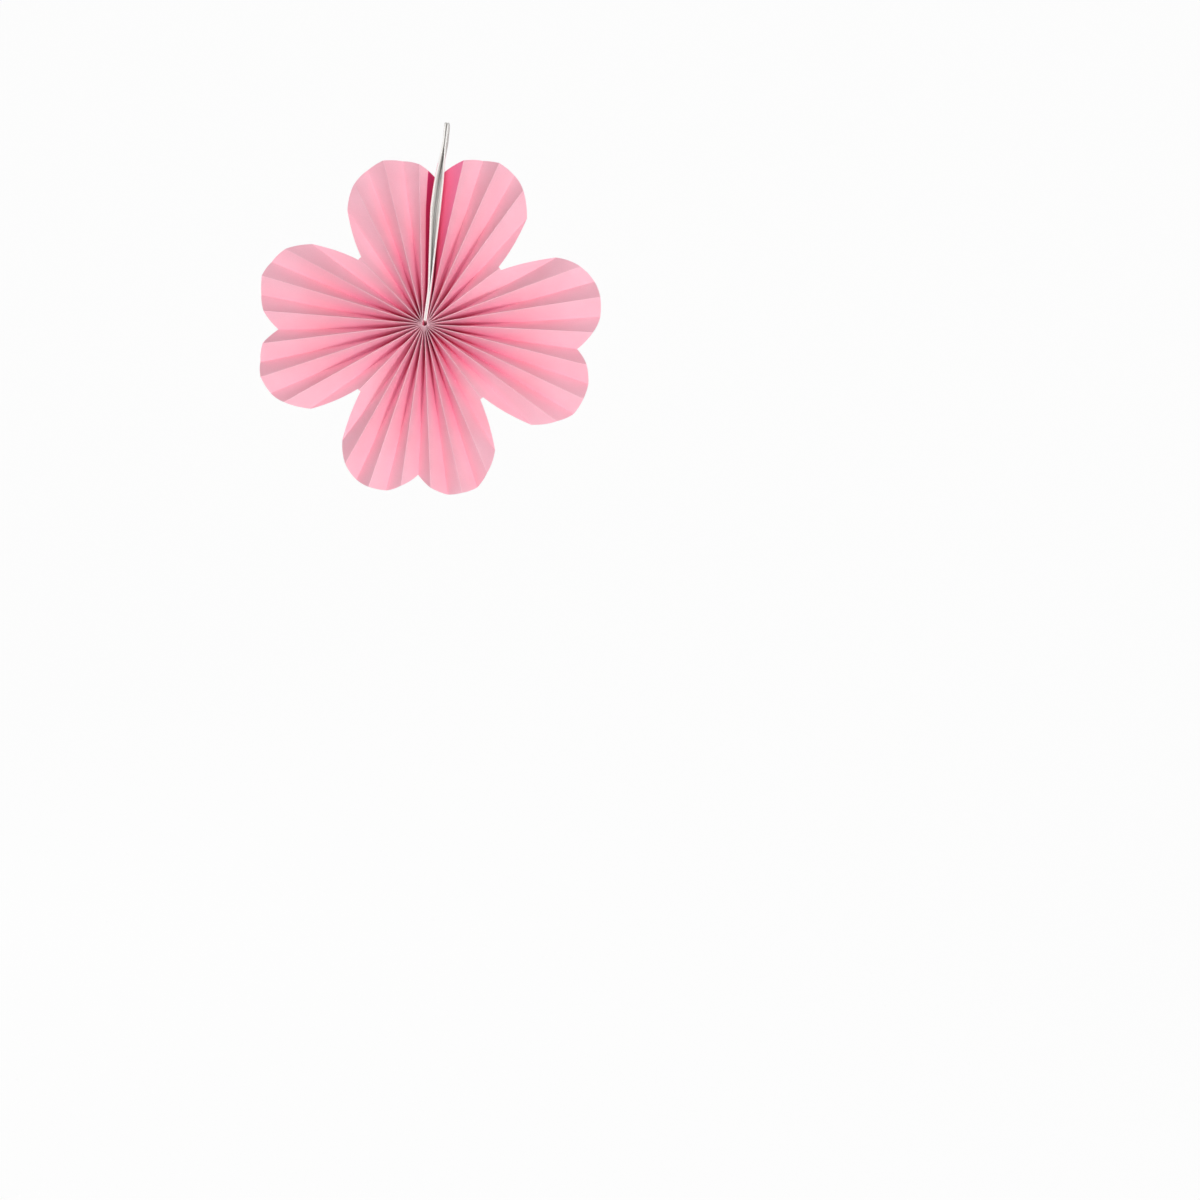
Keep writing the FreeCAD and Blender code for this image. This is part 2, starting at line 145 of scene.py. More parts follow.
class Fan:
    """Where each fold of the fanned paper lies, by the same rules as the part's source."""

    def __init__(self):
        self.crest = SIZE["paper_thick"] * SIZE["hub_packing"]
        self.hub = self.hub_radius()
        self.rim_angles = self.fold_angles_at_rim()
        self.panel = self.panel_width()

    def card_x(self, side, height, depth=0.0):
        """Middle of a card's thickness at a height, from the front edge, depth 0, to the back, 1.
        The two cards lean together at the back, and their tips part at the front."""
        rise = min(max((height - TIP_START) / TIP_RISE, 0.0), 1.0)
        front = self.eased_line(side, height) + side * TIP_FLARE * rise * (1 - depth)
        if depth == 0.0:
            return front
        half = SIZE["card_thick"] / 2
        left = self.eased_line(-1, height) + half
        right = self.eased_line(1, height) - half
        meet = left + (right - left) * BACK_MEETING
        back = meet + side * (half + SIZE["tape_thick"] / 2)
        closed = min(max((right - left - SIZE["tape_thick"]) / LEAN_GAP, 0.0), 1.0)
        return front + (back - front) * depth * closed

    def eased_line(self, side, height):
        """The card's line with its bends rounded, as a mean over a short stretch."""
        if height < BEND_REACH or height > SIZE["tab_end"] - BEND_REACH:
            return self.card_line(side, height)
        near = [height + step * BEND_REACH for step in (-1.0, -0.5, 0.0, 0.5, 1.0)]
        return sum(self.card_line(side, place) for place in near) / len(near)

    def card_line(self, side, height):
        half = (SIZE["card_thick"] + SIZE["tape_thick"]) / 2
        bend = SIZE["right_bend_x"] if side > 0 else -SIZE["left_bend_x"]
        bow = SIZE["right_bow_x"] if side > 0 else -SIZE["left_bow_x"]
        line = (
            (0.0, side * half),
            (SIZE["card_split"], SIZE["split_x"] + side * half),
            (SIZE["card_bend"], bend),
            (SIZE["card_bow"], bow),
            (SIZE["tab_start"], side * SIZE["card_thick"] / 2),
            (SIZE["tab_end"], side * SIZE["card_thick"] / 2),
        )
        for (z0, x0), (z1, x1) in zip(line, line[1:]):
            if height <= z1:
                return x0 + (x1 - x0) * (height - z0) / (z1 - z0)
        return line[-1][1]

    def end_panel_x(self, side, height, depth=0.0):
        out = (SIZE["card_thick"] + SIZE["paper_thick"]) / 2
        return self.card_x(side, height, depth) + side * out

    def seam_point(self, side, radius, outward, depth=0.0):
        height = radius
        for _ in range(6):
            x = self.end_panel_x(side, height, depth) + side * outward
            height = math.sqrt(max(radius ** 2 - x ** 2, 0.0))
        return x, height

    def seam_angle(self, side, radius):
        x, height = self.seam_point(side, radius, self.crest / 2)
        return math.atan2(side * x, height)

    def hub_radius(self):
        needed = (FOLDS - 1) * self.crest
        radius = needed / math.pi
        for _ in range(SOLVER_STEPS):
            taken = self.seam_angle(1, radius) + self.seam_angle(-1, radius)
            radius = needed / (2 * math.pi - taken)
        return radius

    def fold_angles_at_rim(self):
        first = self.seam_angle(1, self.rim_radius(0))
        last = 2 * math.pi - self.seam_angle(-1, self.rim_radius(FOLDS - 1))
        facets = []
        for lobe, lobe_share in enumerate(SIZE["lobe_shares"]):
            shares = [SIZE["notch_facet_share"], SIZE["second_facet_share"]]
            shares += [SIZE["facet_share"]] * (FACETS_PER_LOBE - 2)
            if lobe % 2 == 0:
                shares.reverse()
            span = lobe_share / sum(shares)
            facets += [share * span for share in shares]
        angles = [first]
        for facet in facets:
            angles.append(angles[-1] + facet * (last - first) / sum(facets))
        return angles

    def fold_angle(self, fold, radius):
        at_hub = self.seam_angle(1, self.hub) + fold * self.crest / self.hub
        at_rim = self.rim_angles[fold]
        far = max(SIZE["lobe_reaches"])
        radius = max(radius, self.hub)
        back = self.hub / radius * (far - radius) / (far - self.hub)
        return at_rim + (at_hub - at_rim) * back

    def from_notch(self, place):
        return abs(place % (2 * FACETS_PER_LOBE) - FACETS_PER_LOBE)

    def lobe_top(self, place):
        before = min(max(math.ceil(place / FACETS_PER_LOBE), 1), LOBES)
        after = min(max(math.floor(place / FACETS_PER_LOBE) + 1, 1), LOBES)
        reaches = SIZE["lobe_reaches"]
        return (reaches[before - 1] + reaches[after - 1]) / 2

    def rim_radius(self, place):
        crown = (FACETS_PER_LOBE + 1) / 2
        away = self.from_notch(place)
        top = self.lobe_top(place)
        low = top - SIZE["shoulder_drop"]
        if away <= 1:
            climb = max(away - NOTCH_FLAT, 0.0) / (1 - NOTCH_FLAT)
            return SIZE["notch_radius"] + (low - SIZE["notch_radius"]) * climb
        if away >= crown:
            petal = 2 * FACETS_PER_LOBE
            low = self.lobe_top(round(place / petal) * petal) - SIZE["dip_drop"]
        reach = abs(away - crown) / (crown - 1)
        return top - (top - low) * reach ** SIZE["crown_roundness"]

    def gap(self, fold, radius):
        turn = self.fold_angle(fold + 1, radius) - self.fold_angle(fold, radius)
        return max(radius * turn - self.crest, 0.0)

    def panel_width(self):
        widest = 0.0
        for fold in range(FOLDS - 1):
            reach = min(self.rim_radius(fold), self.rim_radius(fold + 1))
            if min(self.from_notch(fold), self.from_notch(fold + 1)) > 1:
                reach = self.lobe_top(fold + 0.5)
            widest = max(widest, self.gap(fold, reach))
        return math.hypot(widest, SIZE["pleat_depth_at_crown"])

    def pleat_depth(self, fold, radius):
        return math.sqrt(max(self.panel ** 2 - self.gap(fold, radius) ** 2, 0.0))

    def regular_fold_y(self, fold, radius):
        beside = [f for f in (fold - 1, fold) if 0 <= f < FOLDS - 1]
        depth = sum(self.pleat_depth(f, radius) for f in beside) / len(beside)
        near_seam = max(1 - min(fold, FOLDS - 1 - fold) / SIZE["seam_pull"], 0.0)
        kind = VALLEY if fold % 2 == 0 else MOUNTAIN
        return kind * depth / 2 + near_seam * (self.panel - depth) / 2

    def fold_y(self, fold, radius):
        radius = min(radius, self.rim_radius(fold))
        if fold in (0, FOLDS - 1):
            return self.panel / 2
        away = self.from_notch(fold)
        if away > 1:
            return self.regular_fold_y(fold, radius)
        if away == 1:
            step = -1 if self.from_notch(fold - 1) == 2 else 1
            facet = min(fold, fold + step)
            return self.regular_fold_y(fold + step, radius) + self.pleat_depth(facet, radius)
        sides = [
            self.fold_y(fold - 1, radius) - self.pleat_depth(fold - 1, radius),
            self.fold_y(fold + 1, radius) - self.pleat_depth(fold, radius),
        ]
        return sum(sides) / 2


class FoldLine:
    """One side of a fold's crest, from the hub to the cut rim."""

    def __init__(self, fan, fold, step):
        self.fan = fan
        self.fold = fold
        self.place = fold
        self.step = step
        self.ridge = 1.0 if fold % 2 else 0.0

    def point(self, radius):
        half_crest = self.fan.crest / (2 * max(radius, self.fan.hub))
        angle = self.fan.fold_angle(self.fold, radius) + self.step * half_crest
        y = self.fan.fold_y(self.fold, radius)
        return Vector((radius * math.sin(angle), y, radius * math.cos(angle)))


class SeamLine:
    """Line of an end panel: its free front edge or one side of the crest behind the card."""

    def __init__(self, fan, side, place, y, outward):
        self.fan = fan
        self.side = side
        self.place = place
        self.y = y
        self.outward = outward
        self.ridge = 1.0 if y < 0 else 0.0

    def point(self, radius):
        depth = 0.5 + self.y / self.fan.panel
        x, height = self.fan.seam_point(self.side, radius, self.outward, depth)
        return Vector((x, self.y, height))


def paper_panels(fan):
    """Pairs of lines, one pair for each flat panel, clockwise from the right end panel."""
    deep = fan.panel / 2
    last = FOLDS - 1
    lines = [
        SeamLine(fan, 1, -1, -deep, 0),
        SeamLine(fan, 1, 0, deep, 0),
        SeamLine(fan, 1, 0, deep, fan.crest),
    ]
    for fold in range(1, last):
        lines += [FoldLine(fan, fold, -1), FoldLine(fan, fold, 1)]
    lines += [
        SeamLine(fan, -1, last, deep, fan.crest),
        SeamLine(fan, -1, last, deep, 0),
        SeamLine(fan, -1, last + 1, -deep, 0),
    ]
    return list(zip(lines[::2], lines[1::2]))


# Stations of the sheet's mesh: shares across a panel, rows along it, and the last inner row.
ACROSS = (0.0, 0.02, 0.05, 0.12, 0.25, 0.42, 0.46, 0.60, 0.75, 0.88, 0.95, 0.98, 1.0)
ALONG = 38
CROWDING = 1.3
RIM_ROW = 0.5


def along_stations(start, rim):
    """Radii of the rows: closer near the hub, and one row just inside the cut edge."""
    length = rim - start
    steps = [start + length * (row / ALONG) ** CROWDING for row in range(ALONG)]
    return steps + [rim - RIM_ROW, rim]


def swell(panel, share, radius, rim, chance):
    """How far the paper bows out of the flat panel between two folds."""
    bow, twist = chance
    grow = min(radius / rim, 1.0) ** 1.5
    shape = 4 * share * (1 - share)
    ripple = noise.noise(Vector((panel * 5.3, radius * 0.03, share)))
    return shape * grow * (bow + twist * (share - 0.5) + RIPPLE * ripple)


def closeness(fan, panel, radius):
    """How nearly shut the pleat is at a radius, from 0, wide open, to 1, at the hub."""
    fold = min(max(panel - 1, 0), FOLDS - 2)
    return max(1 - fan.gap(fold, max(radius, fan.hub)) / OPEN_GAP, 0.0)


def paper_grid(fan):
    """Middle surface of the sheet: columns of points, with their fold wear and painted highlight, and
    their painted shade.
    """
    dice = random.Random(11)
    columns = []
    for panel, (before, after) in enumerate(paper_panels(fan)):
        chance = (dice.uniform(-BOW, BOW), dice.uniform(-TWIST, TWIST))
        glued = panel in (0, FOLDS)
        for share in ACROSS:
            place = before.place + (after.place - before.place) * share
            rim = fan.rim_radius(place)
            width = fan.panel * min(share, 1 - share)
            ridge = before.ridge if share < 0.5 else after.ridge
            fade = max(1 - width / WEAR_AND_HIGHLIGHT_WIDTH, 0.0)
            depth = 0.5 + before.point(fan.hub).lerp(after.point(fan.hub), share).y / fan.panel
            inner = min(max(depth, 0.0), 1.0) ** HUB_TAPER
            start = fan.hub - (fan.hub - HUB_BACK_RADIUS) * inner
            # Painted shade beside the cards: the seam panels get a deeper colour, and the last regular
            # panel only where the card's painted shadow falls.
            seam_shaded = PAINTED_SEAM_SHADE.get(panel, 0.0)
            if panel == FOLDS - 1 and share < SHADED_SHARE:
                seam_shaded = 0.0
            points = []
            closed = []
            for radius in along_stations(start, rim):
                first, second = before.point(radius), after.point(radius)
                point = first.lerp(second, share)
                if not glued:
                    radial = Vector((point.x, 0, point.z)).normalized()
                    out = (second - first).cross(radial).normalized()
                    point += out * swell(panel, share, radius, rim, chance)
                points.append(point)
                inward = min(max(0.5 + point.y / fan.panel, 0.0), 1.0)
                closed.append((closeness(fan, panel, radius), inward, seam_shaded))
            columns.append((points, ridge * fade, (1 - ridge) * fade, closed))
    return columns


def across(start, end, radial):
    step = end - start
    return (step - radial * step.dot(radial)).normalized()


def half_offset(before, point, after, half):
    """From the middle surface to the front face, mitred where two panels meet."""
    radial = Vector((point.x, 0, point.z)).normalized()
    normals = []
    if before is not None:
        normals.append(across(before, point, radial).cross(radial))
    if after is not None:
        normals.append(across(point, after, radial).cross(radial))
    total = normals[0] + normals[-1]
    return total * (half / max(total.dot(normals[0]), 0.3))


def mesh_object(name, points, faces):
    mesh = bpy.data.meshes.new(name)
    mesh.from_pydata(points, [], faces)
    mesh.validate()
    thing = bpy.data.objects.new(name, mesh)
    bpy.context.scene.collection.objects.link(thing)
    return thing


def shade(thing, degrees):
    """Smooth shading that stays crisp over edges sharper than an angle."""
    mesh = thing.data
    mesh.polygons.foreach_set("use_smooth", [True] * len(mesh.polygons))
    mesh.set_sharp_from_angle(angle=math.radians(degrees))


def write_values(thing, name, values):
    layer = thing.data.attributes.new(name, "FLOAT", "POINT")
    layer.data.foreach_set("value", values)


def make_paper(fan):
    """The pleated sheet, as one closed skin with its real thickness."""
    columns = paper_grid(fan)
    half = SIZE["paper_thick"] / 2
    rows = len(columns[0][0])
    front, back, ridge_front, ridge_back, rim = [], [], [], [], []
    pleat_shade_front, pleat_shade_back, seam_shade = [], [], []
    for index, (points, ridge, valley, closed) in enumerate(columns):
        before = columns[index - 1][0] if index else None
        after = columns[index + 1][0] if index + 1 < len(columns) else None
        for row, point in enumerate(points):
            push = half_offset(
                before[row] if before else None, point, after[row] if after else None, half
            )
            front.append(place_mm(*(point + push)))
            back.append(place_mm(*(point - push)))
            shut, inward, seam_shaded = closed[row]
            # Wear and painted highlight of the fold crests, fading where the pleats open.
            wear_and_highlight = OUTER_WEAR_AND_HIGHLIGHT + (1 - OUTER_WEAR_AND_HIGHLIGHT) * shut
            ridge_front.append(ridge * wear_and_highlight)
            ridge_back.append(valley * wear_and_highlight)
            rim.append(1.0 if row == rows - 1 else 0.0)
            # Painted shade mask: strong where the pleat is nearly shut, on each face towards its valleys.
            pleat_shade_front.append(shut * inward)
            pleat_shade_back.append(shut * (1 - inward))
            seam_shade.append(seam_shaded)
    count = len(front)
    faces = []
    last = len(columns) - 1
    for column in range(last):
        for row in range(rows - 1):
            a = column * rows + row
            b = a + rows
            faces.append((a, b, b + 1, a + 1))
            faces.append((a + count, a + 1 + count, b + 1 + count, b + count))
        for row, turn in ((0, False), (rows - 1, True)):
            a = column * rows + row
            b = a + rows
            wall = (a, a + count, b + count, b)
            faces.append(wall[::-1] if turn else wall)
    for row in range(rows - 1):
        a = row
        faces.append((a, a + 1, a + 1 + count, a + count))
        b = last * rows + row
        faces.append((b, b + count, b + 1 + count, b + 1))
    paper = mesh_object("rosette_paper", front + back, faces)
    write_values(paper, "ridge", ridge_front + ridge_back)
    write_values(paper, "rim", rim + rim)
    write_values(paper, "deep", pleat_shade_front + pleat_shade_back)
    write_values(paper, "seam_shade", seam_shade + [0.0] * count)
    shade(paper, 25)
    return paper


# The part of a card's mesh round the hole: how far below the hole's centre it starts, and how
# its rings crowd towards the hole.
TAB_PATCH = 8.0
RING_CROWDING = 1.4


def arc_points(centre_y, centre_z, radius, start, steps):
    """Quarter turn round a centre, without its first point."""
    turns = [start + math.pi / 2 * step / steps for step in range(1, steps + 1)]
    return [(centre_y + radius * math.cos(t), centre_z + radius * math.sin(t)) for t in turns]


def tab_outline(half, low, ys):
    """Outline of a card's tab in width and height, from its lower edge round by the top."""
    rise, arc, top = 5, 6, 4
    corner = SIZE["tab_corner"]
    end = SIZE["tab_end"]
    shoulder = end - corner
    flat = half - corner
    outline = [(y, low) for y in ys]
    outline += [(half, low + (shoulder - low) * j / rise) for j in range(1, rise + 1)]
    outline += arc_points(flat, shoulder, corner, 0.0, arc)
    outline += [(flat - 2 * flat * j / top, end) for j in range(1, top + 1)]
    outline += arc_points(-flat, shoulder, corner, math.pi / 2, arc)
    outline += [(-half, shoulder - (shoulder - low) * j / rise) for j in range(1, rise)]
    return outline


def card_face(fan):
    """Flat pattern of a card in width and height: its points and its faces, with the tab's
    hole in rings of faces that narrow from the outline to the hole."""
    half = fan.panel / 2 - SIZE["card_inset"]
    foot = SIZE["card_foot"]
    centre = SIZE["hang_hole_height"]
    low = centre - TAB_PATCH
    spans, levels, ring_count = 8, 64, 5
    points, faces, index = [], [], {}

    def add(y, z):
        key = (round(y, 5), round(z, 5))
        if key not in index:
            index[key] = len(points)
            points.append((y, z))
        return index[key]

    ys = [-half + 2 * half * i / spans for i in range(spans + 1)]
    zs = [foot + (low - foot) * j / levels for j in range(levels + 1)]
    for j in range(levels):
        for i in range(spans):
            quad = ((ys[i], zs[j]), (ys[i + 1], zs[j]), (ys[i + 1], zs[j + 1]), (ys[i], zs[j + 1]))
            faces.append([add(*corner_point) for corner_point in quad])

    outer = tab_outline(half, low, ys)
    rings = [[add(y, z) for y, z in outer]]
    for ring in range(1, ring_count + 1):
        share = 1 - (1 - ring / ring_count) ** RING_CROWDING
        loop = []
        for y, z in outer:
            turn = math.atan2(z - centre, y)
            hole_y = SIZE["hang_hole_radius"] * math.cos(turn)
            hole_z = centre + SIZE["hang_hole_radius"] * math.sin(turn)
            loop.append(add(y + (hole_y - y) * share, z + (hole_z - z) * share))
        rings.append(loop)
    for wide, tight in zip(rings, rings[1:]):
        for i in range(len(wide)):
            k = (i + 1) % len(wide)
            faces.append([wide[i], wide[k], tight[k], tight[i]])
    return points, faces


def boundary(faces):
    """Directed edges that belong to one face only."""
    edges = {}
    for face in faces:
        for a, b in zip(face, face[1:] + face[:1]):
            edges[(a, b)] = edges.get((a, b), 0) + 1
    return [(a, b) for a, b in edges if (b, a) not in edges]


def make_card(fan, name, side):
    """Card strip on edge, bent along the seam, with a rounded tab and a punched hole."""
    flat, faces = card_face(fan)
    half = SIZE["card_thick"] / 2
    points = []
    for face_side in (-1, 1):
        for y, z in flat:
            depth = 0.5 + y / (fan.panel - 2 * SIZE["card_inset"])
            if z <= SIZE["card_foot"]:
                z -= FOOT_DROP * depth
            points.append(place_mm(fan.card_x(side, z, depth) + face_side * half, y, z))
    count = len(flat)
    skin = [face[::-1] for face in faces]
    skin += [[i + count for i in face] for face in faces]
    skin += [[a, b, b + count, a + count] for a, b in boundary(faces)]
    card = mesh_object(name, points, skin)
    rounding = card.modifiers.new("edge_rounding", "BEVEL")
    rounding.width = CARD_ROUNDING * MM
    rounding.segments = 2
    rounding.limit_method = "ANGLE"
    rounding.angle_limit = math.radians(50)
    shade(card, 40)
    return card


def make_thread():
    """Two plies twisted round each other, closed into the ring that binds the hub."""
    ring = SIZE["thread_ring_radius"]
    radius = SIZE["thread_radius"]
    ply = radius * 0.52
    lie = radius - ply
    turns = 19
    stations = 420
    sides = 8
    points, faces = [], []
    for strand in (0, 1):
        first = len(points)
        for station in range(stations):
            along = 2 * math.pi * station / stations
            twist = turns * along + strand * math.pi
            out = Vector((math.cos(along), 0, math.sin(along)))
            up = Vector((0, 1, 0))
            middle = out * (ring + lie * math.cos(twist)) + up * (lie * math.sin(twist))
            for corner in range(sides):
                turn = 2 * math.pi * corner / sides
                point = middle + out * (ply * math.cos(turn)) + up * (ply * math.sin(turn))
                points.append(place_mm(*point))
        for station in range(stations):
            after = (station + 1) % stations
            for corner in range(sides):
                beside = (corner + 1) % sides
                faces.append((
                    first + station * sides + corner,
                    first + after * sides + corner,
                    first + after * sides + beside,
                    first + station * sides + beside,
                ))
    thread = mesh_object("hub_thread", points, faces)
    shade(thread, 60)
    return thread


class Nodes:
    """Short way to build a material's node tree."""

    def __init__(self, name):
        self.material = bpy.data.materials.new(name)
        self.material.use_nodes = True
        self.tree = self.material.node_tree
        self.tree.nodes.clear()
        self.place = 0

    def add(self, kind, **settings):
        node = self.tree.nodes.new(kind)
        node.location = (self.place, 0)
        self.place += 190
        for key, value in settings.items():
            setattr(node, key, value)
        return node

    def link(self, out, into):
        self.tree.links.new(out, into)

    def noise(self, vector, scale, detail=3.0, rough=0.55):
        node = self.add("ShaderNodeTexNoise")
        node.inputs["Scale"].default_value = scale
        node.inputs["Detail"].default_value = detail
        node.inputs["Roughness"].default_value = rough
        self.link(vector, node.inputs["Vector"])
        return node.outputs["Fac"]

    def range(self, value, low, high, to_low, to_high):
        node = self.add("ShaderNodeMapRange")
        for key, number in zip(("From Min", "From Max", "To Min", "To Max"), (low, high, to_low, to_high)):
            node.inputs[key].default_value = number
        self.link(value, node.inputs["Value"])
        return node.outputs["Result"]

    def maths(self, kind, a, b):
        node = self.add("ShaderNodeMath", operation=kind)
        for value, socket in zip((a, b), node.inputs):
            if isinstance(value, (int, float)):
                socket.default_value = value
            else:
                self.link(value, socket)
        return node.outputs[0]

    def mix(self, share, first, second, blend="MIX"):
        node = self.add("ShaderNodeMix", data_type="RGBA", blend_type=blend)
        for value, socket in ((share, node.inputs[0]), (first, node.inputs[6]), (second, node.inputs[7])):
            if isinstance(value, (int, float)):
                socket.default_value = value
            elif isinstance(value, tuple):
                socket.default_value = (*value, 1.0)
            else:
                self.link(value, socket)
        return node.outputs[2]

    def attribute(self, name):
        return self.add("ShaderNodeAttribute", attribute_name=name).outputs["Fac"]

    def coordinates(self, stretch=(1.0, 1.0, 1.0)):
        source = self.add("ShaderNodeTexCoord").outputs["Object"]
        mapping = self.add("ShaderNodeMapping")
        mapping.inputs["Scale"].default_value = stretch
        self.link(source, mapping.inputs["Vector"])
        return mapping.outputs["Vector"]

    def finish(self, colour, roughness, height, distance, **constants):
        shader = self.add("ShaderNodeBsdfPrincipled")
        for key, value in constants.items():
            shader.inputs[key.replace("_", " ")].default_value = value
        self.link(colour, shader.inputs["Base Color"])
        self.link(roughness, shader.inputs["Roughness"])
        bump = self.add("ShaderNodeBump")
        bump.inputs["Strength"].default_value = 1.0
        bump.inputs["Distance"].default_value = distance
        self.link(height, bump.inputs["Height"])
        self.link(bump.outputs["Normal"], shader.inputs["Normal"])
        out = self.add("ShaderNodeOutputMaterial")
        self.link(shader.outputs["BSDF"], out.inputs["Surface"])
        return self.material


def paper_material():
    """Matte paper dyed through: fibre mottling, cloudy dye, paler cut edges, folds paler by wear and a
    painted highlight, and painted shade in the hub's valleys and beside the cards.
    """
    n = Nodes("dyed_paper")
    where = n.coordinates()
    cloud = n.noise(where, 28.0, 3.0)
    fibre = n.noise(where, 1500.0, 4.0, 0.65)
    fleck = n.noise(n.coordinates((1.0, 1.0, 0.35)), 3200.0, 2.0, 0.6)
    dye = n.mix(n.range(cloud, 0.35, 0.65, 0.0, 1.0), (0.975, 0.49, 0.59), (0.975, 0.53, 0.63))
    grain = n.range(n.maths("ADD", fibre, fleck), 0.7, 1.3, 0.955, 1.045)
    # Painted shade: valleys of nearly shut pleats near the hub go rose, then crimson, for shade and light
    # bounced between the pleats.
    deep = n.attribute("deep")
    pleat_shaded = n.mix(deep, dye, (1.0, 0.30, 0.55))
    pleat_shaded_deeper = n.mix(n.range(deep, 0.4, 0.75, 0.0, 1.0), pleat_shaded, (0.92, 0.05, 0.18))
    # Painted shade and shadow beside the cards: seam panels go hot pink, and the card's shadow on the last
    # regular panel goes dark crimson.
    seam_shade = n.attribute("seam_shade")
    seam_half_shaded = n.mix(n.range(seam_shade, 0.0, 0.5, 0.0, 1.0), pleat_shaded_deeper, (1.0, 0.13, 0.36))
    seam_shaded = n.mix(n.range(seam_shade, 0.5, 1.0, 0.0, 1.0), seam_half_shaded, (0.50, 0.012, 0.085))
    dyed = n.mix(1.0, seam_shaded, grain, "MULTIPLY")
    # Paler fold crests: partly real wear of the dye, partly a painted highlight where the crests catch
    # light near the hub.
    worn_and_lit = n.mix(n.maths("MULTIPLY", n.attribute("ridge"), 0.35), dyed, (1.0, 0.84, 0.88))
    cut = n.mix(n.maths("MULTIPLY", n.attribute("rim"), 0.4), worn_and_lit, (1.0, 0.78, 0.80))
    rough = n.range(fibre, 0.3, 0.7, 0.82, 0.94)
    height = n.maths("ADD", n.maths("MULTIPLY", fibre, 0.6), n.maths("MULTIPLY", fleck, 0.4))
    return n.finish(
        cut, rough, height, 0.00004, Specular_IOR_Level=0.15, IOR=1.45,
    )


def card_material():
    """Greyish white board with a cloudy surface and fine pressed fibres."""
    n = Nodes("white_card")
    where = n.coordinates()
    cloud = n.noise(where, 60.0, 4.0)
    fibre = n.noise(n.coordinates((1.0, 1.0, 0.25)), 2200.0, 4.0, 0.7)
    tone = n.mix(n.range(cloud, 0.3, 0.7, 0.0, 1.0), (0.93, 0.905, 0.88), (0.955, 0.94, 0.92))
    speck = n.range(fibre, 0.3, 0.7, 0.93, 1.05)
    colour = n.mix(1.0, tone, speck, "MULTIPLY")
    rough = n.range(fibre, 0.3, 0.7, 0.7, 0.88)
    return n.finish(colour, rough, fibre, 0.00005, Specular_IOR_Level=0.3, IOR=1.45)


def tape_material():
    """Milky double-sided tape with small bubbles under the film."""
    n = Nodes("adhesive_tape")
    where = n.coordinates()
    cloud = n.noise(where, 300.0, 3.0)
    bubble = n.add("ShaderNodeTexVoronoi", feature="SMOOTH_F1")
    bubble.inputs["Scale"].default_value = 900.0
    n.link(where, bubble.inputs["Vector"])
    spots = n.range(bubble.outputs["Distance"], 0.1, 0.4, 0.0, 1.0)
    tone = n.mix(n.range(cloud, 0.3, 0.7, 0.0, 1.0), (0.70, 0.66, 0.55), (0.80, 0.77, 0.68))
    colour = n.mix(n.maths("MULTIPLY", spots, 0.3), tone, (0.88, 0.86, 0.80))
    rough = n.range(cloud, 0.3, 0.7, 0.3, 0.5)
    return n.finish(colour, rough, spots, 0.00002, Specular_IOR_Level=0.45, IOR=1.5)


def thread_material():
    """Pink-white cotton with fuzzy fibres."""
    n = Nodes("cotton_thread")
    where = n.coordinates()
    cloud = n.noise(where, 700.0, 2.0)
    fuzz = n.noise(where, 9000.0, 4.0, 0.7)
    colour = n.mix(n.range(cloud, 0.3, 0.7, 0.0, 1.0), (0.78, 0.66, 0.64), (0.88, 0.79, 0.76))
    shaded = n.mix(1.0, colour, n.range(fuzz, 0.3, 0.7, 0.88, 1.06), "MULTIPLY")
    rough = n.range(fuzz, 0.3, 0.7, 0.8, 0.95)
    return n.finish(shaded, rough, fuzz, 0.00004, Specular_IOR_Level=0.2, IOR=1.5)


def studio_material():
    """Near-white floor and backdrop that still take the object's shadow."""
    n = Nodes("studio_white")
    where = n.coordinates()
    cloud = n.noise(where, 1.5, 2.0)
    tone = n.mix(n.range(cloud, 0.3, 0.7, 0.0, 1.0), (0.955, 0.955, 0.955), (0.965, 0.965, 0.965))
    matte = n.add("ShaderNodeBsdfDiffuse")
    n.link(tone, matte.inputs["Color"])
    glow = n.add("ShaderNodeEmission")
    glow.inputs["Strength"].default_value = 1.0
    path = n.add("ShaderNodeLightPath")
    seen = n.maths("MAXIMUM", path.outputs["Is Camera Ray"], path.outputs["Is Glossy Ray"])
    seen = n.maths("MAXIMUM", seen, path.outputs["Is Transmission Ray"])
    share = n.maths("MULTIPLY", seen, BACKDROP_GLOW)
    blend = n.add("ShaderNodeMixShader")
    n.link(share, blend.inputs[0])
    n.link(matte.outputs[0], blend.inputs[1])
    n.link(glow.outputs[0], blend.inputs[2])
    out = n.add("ShaderNodeOutputMaterial")
    n.link(blend.outputs[0], out.inputs["Surface"])
    return n.material


def dress(thing, material, slot, *nodes):
    """Give a new piece its material, its body and the solids that it stands for."""
    thing.data.materials.clear()
    thing.data.materials.append(material)
    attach(thing, "root")
    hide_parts(*nodes)


def paint_node(name, material):
    """Give a solid that stays its procedural material."""
    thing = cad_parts[name]
    if not thing.material_slots:
        thing.data.materials.append(None)
    for slot in thing.material_slots:
        slot.link = "OBJECT"
        slot.material = material


def make_studio(material):
    """Wide floor below the hanging object, swept up into a far backdrop."""
    floor, wall, bend, reach = -1.05, 3.2, 1.2, 4.0
    profile = [(-reach, floor), (wall - bend, floor)]
    for step in range(1, 13):
        turn = math.pi / 2 * step / 12
        profile.append((wall - bend + bend * math.sin(turn), floor + bend - bend * math.cos(turn)))
    profile.append((wall, floor + 6.0))
    points = [(x, y, z) for y, z in profile for x in (-reach, reach)]
    faces = [(2 * i, 2 * i + 1, 2 * i + 3, 2 * i + 2) for i in range(len(profile) - 1)]
    studio = mesh_object("studio_floor", points, faces)
    studio.data.materials.append(material)
    shade(studio, 60)


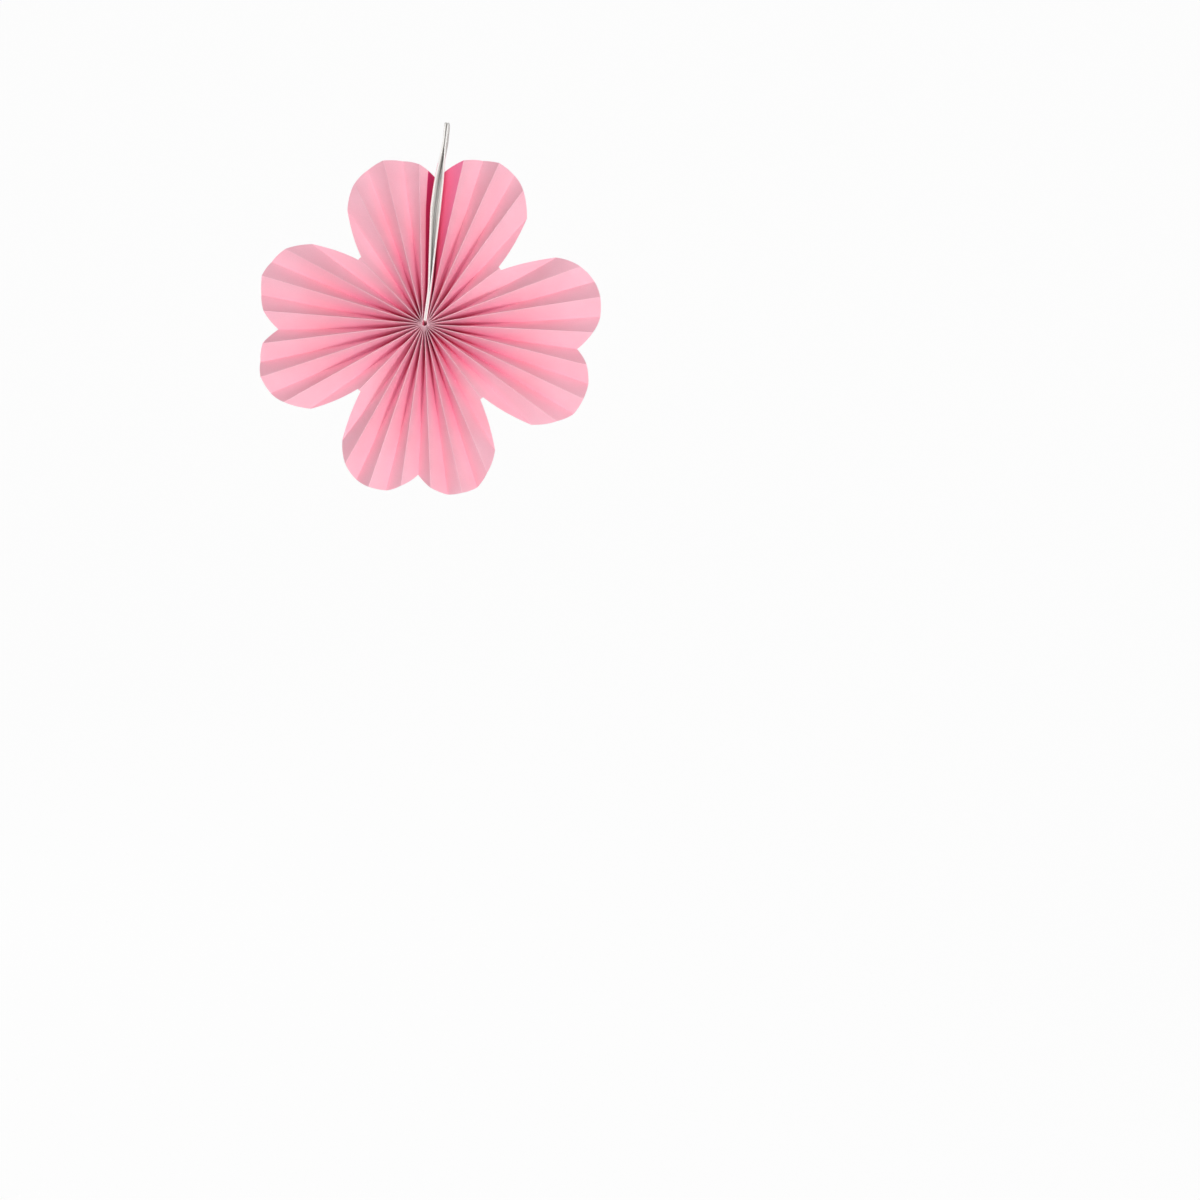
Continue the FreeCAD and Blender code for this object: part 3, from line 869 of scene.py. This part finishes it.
def area_lamp(name, where, target, width, power, tint):
    lamp = bpy.data.lights.new(name, "AREA")
    lamp.shape = "DISK"
    lamp.size = width
    lamp.energy = power
    lamp.color = tint
    thing = bpy.data.objects.new(name, lamp)
    bpy.context.scene.collection.objects.link(thing)
    thing.location = where
    aim = target - Vector(where)
    thing.rotation_mode = "QUATERNION"
    thing.rotation_quaternion = aim.to_track_quat("-Z", "Y")


def light_scene():
    """Even light from all round, which the camera sees as white, and three soft lamps."""
    world = bpy.data.worlds.new("studio_world")
    bpy.context.scene.world = world
    world.use_nodes = True
    tree = world.node_tree
    tree.nodes.clear()
    path = tree.nodes.new("ShaderNodeLightPath")
    soft = tree.nodes.new("ShaderNodeBackground")
    soft.inputs["Color"].default_value = (1.0, 0.985, 0.97, 1.0)
    soft.inputs["Strength"].default_value = WORLD_LIGHT
    white = tree.nodes.new("ShaderNodeBackground")
    white.inputs["Color"].default_value = (1.0, 1.0, 1.0, 1.0)
    white.inputs["Strength"].default_value = 1.0
    blend = tree.nodes.new("ShaderNodeMixShader")
    out = tree.nodes.new("ShaderNodeOutputWorld")
    tree.links.new(path.outputs["Is Camera Ray"], blend.inputs[0])
    tree.links.new(soft.outputs[0], blend.inputs[1])
    tree.links.new(white.outputs[0], blend.inputs[2])
    tree.links.new(blend.outputs[0], out.inputs["Surface"])
    hub = place_mm(0.0, 0.0, 0.0)
    for name, (where, width, power, tint) in LAMPS.items():
        area_lamp(name, where, hub, width, power, tint)


def make_camera(front):
    """Camera square to the wall, turned so that the tab leans right as in the photograph."""
    right = Vector((math.cos(LEAN), 0.0, math.sin(LEAN)))
    up = Vector((-math.sin(LEAN), 0.0, math.cos(LEAN)))
    hub = Vector((0.0, -front, 0.0))
    aim = hub - right * (HUB_RIGHT / POINTS_PER_MM) - up * (HUB_UP / POINTS_PER_MM)
    camera_data = bpy.data.cameras.new("camera")
    camera = bpy.data.objects.new("camera", camera_data)
    bpy.context.scene.collection.objects.link(camera)
    back = Vector((0.0, -1.0, 0.0))
    turn = Matrix((right, up, back)).transposed()
    where = aim + back * CAMERA_DISTANCE
    camera.matrix_world = Matrix.Translation(place_mm(*where)) @ turn.to_4x4()
    camera_data.sensor_width = SENSOR
    camera_data.lens = SENSOR * CAMERA_DISTANCE / (PICTURE / POINTS_PER_MM)
    camera_data.clip_start = 0.05
    camera_data.clip_end = 50.0
    bpy.context.scene.camera = camera


def main():
    fan = Fan()
    make_camera(fan.panel / 2)
    light_scene()
    bpy.context.scene.view_settings.view_transform = "Standard"
    paper = make_paper(fan)
    dress(paper, paper_material(), "dyed_paper", "pleated_paper")
    board = card_material()
    right = make_card(fan, "right_card_strip", 1)
    dress(right, board, "white_card", "right_end_card")
    left = make_card(fan, "left_card_strip", -1)
    dress(left, board, "white_card", "left_end_card")
    thread = make_thread()
    dress(thread, thread_material(), "cotton_thread", "binding_thread")
    paint_node("closing_tape", tape_material())
    make_studio(studio_material())


main()
